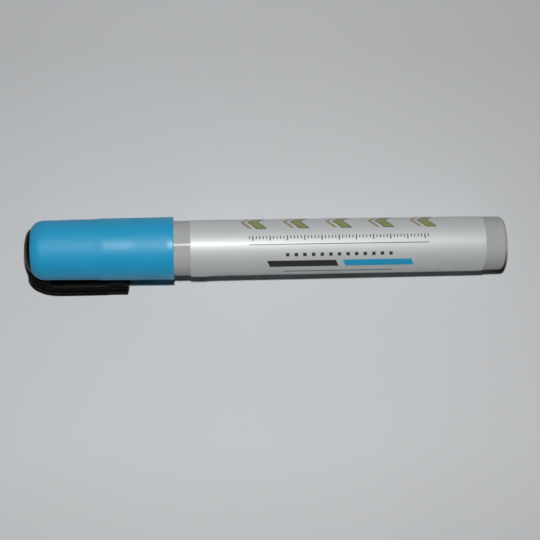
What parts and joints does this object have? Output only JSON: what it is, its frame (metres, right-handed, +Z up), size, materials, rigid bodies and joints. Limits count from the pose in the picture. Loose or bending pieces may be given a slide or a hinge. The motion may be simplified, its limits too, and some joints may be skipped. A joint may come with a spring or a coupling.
{
  "type": "arrow cresting pen",
  "caption": "Capped pump-action paint marker with a chisel nib on a sprung valve, a mixing ball in the barrel, a wrap label and a flexing pocket clip on the pull-off cap.",
  "frame": {"origin": "centre of the flat rear end of the barrel, on the pen axis", "axes": "+X out of the rear end along the pen axis, so the cap is towards -X; +Z up with the pen lying on its cap rim and clip; the clip points to -Y and below"},
  "size_m": [0.1406, 0.0225, 0.0184],
  "materials": {
    "barrel_plastic": "satin moulded grey polypropylene",
    "label_film": "satin silver wrap film",
    "nib_fibre": "pressed polyester fibre",
    "natural_plastic": "natural polyethylene",
    "spring_steel": "drawn wire",
    "ball_steel": "polished",
    "cap_plastic": "blue moulded polypropylene",
    "clip_plastic": "black moulded plastic"
  },
  "bodies": {
    "barrel": {"barrel": "barrel_plastic", "barrel_label": "label_film", "nib_holder": "barrel_plastic", "valve_seat": "natural_plastic", "valve_cage": "natural_plastic", "valve_spring": "spring_steel"},
    "nib": {"nib": "nib_fibre", "valve_stem": "natural_plastic"},
    "ball": {"mixing_ball": "ball_steel"},
    "cap": {"cap_shell": "cap_plastic", "inner_cap": "natural_plastic", "clip_crown": "clip_plastic"},
    "clip": {"clip_arm": "clip_plastic"}
  },
  "joints": [
    {"name": "cap_pull", "type": "slide", "parent": "barrel", "child": "cap", "axis": [-1, 0, 0], "range_m": [0, 0.045]},
    {"name": "clip_flex", "type": "hinge", "parent": "cap", "child": "clip", "pos_m": [-0.13878, -0.00649, -0.00387], "axis": [0, 0.5126, -0.8586], "range_deg": [0, 8], "stiffness_Nm_per_rad": 0.4},
    {"name": "nib_press", "type": "slide", "parent": "barrel", "child": "nib", "axis": [1, 0, 0], "range_m": [0, 0.0025], "stiffness_N_per_m": 400, "springref_m": -0.006, "deforming": ["valve_spring"]},
    {"name": "ball_roll", "type": "slide", "parent": "barrel", "child": "ball", "axis": [-1, 0, 0], "range_m": [0, 0.0704]}
  ]
}
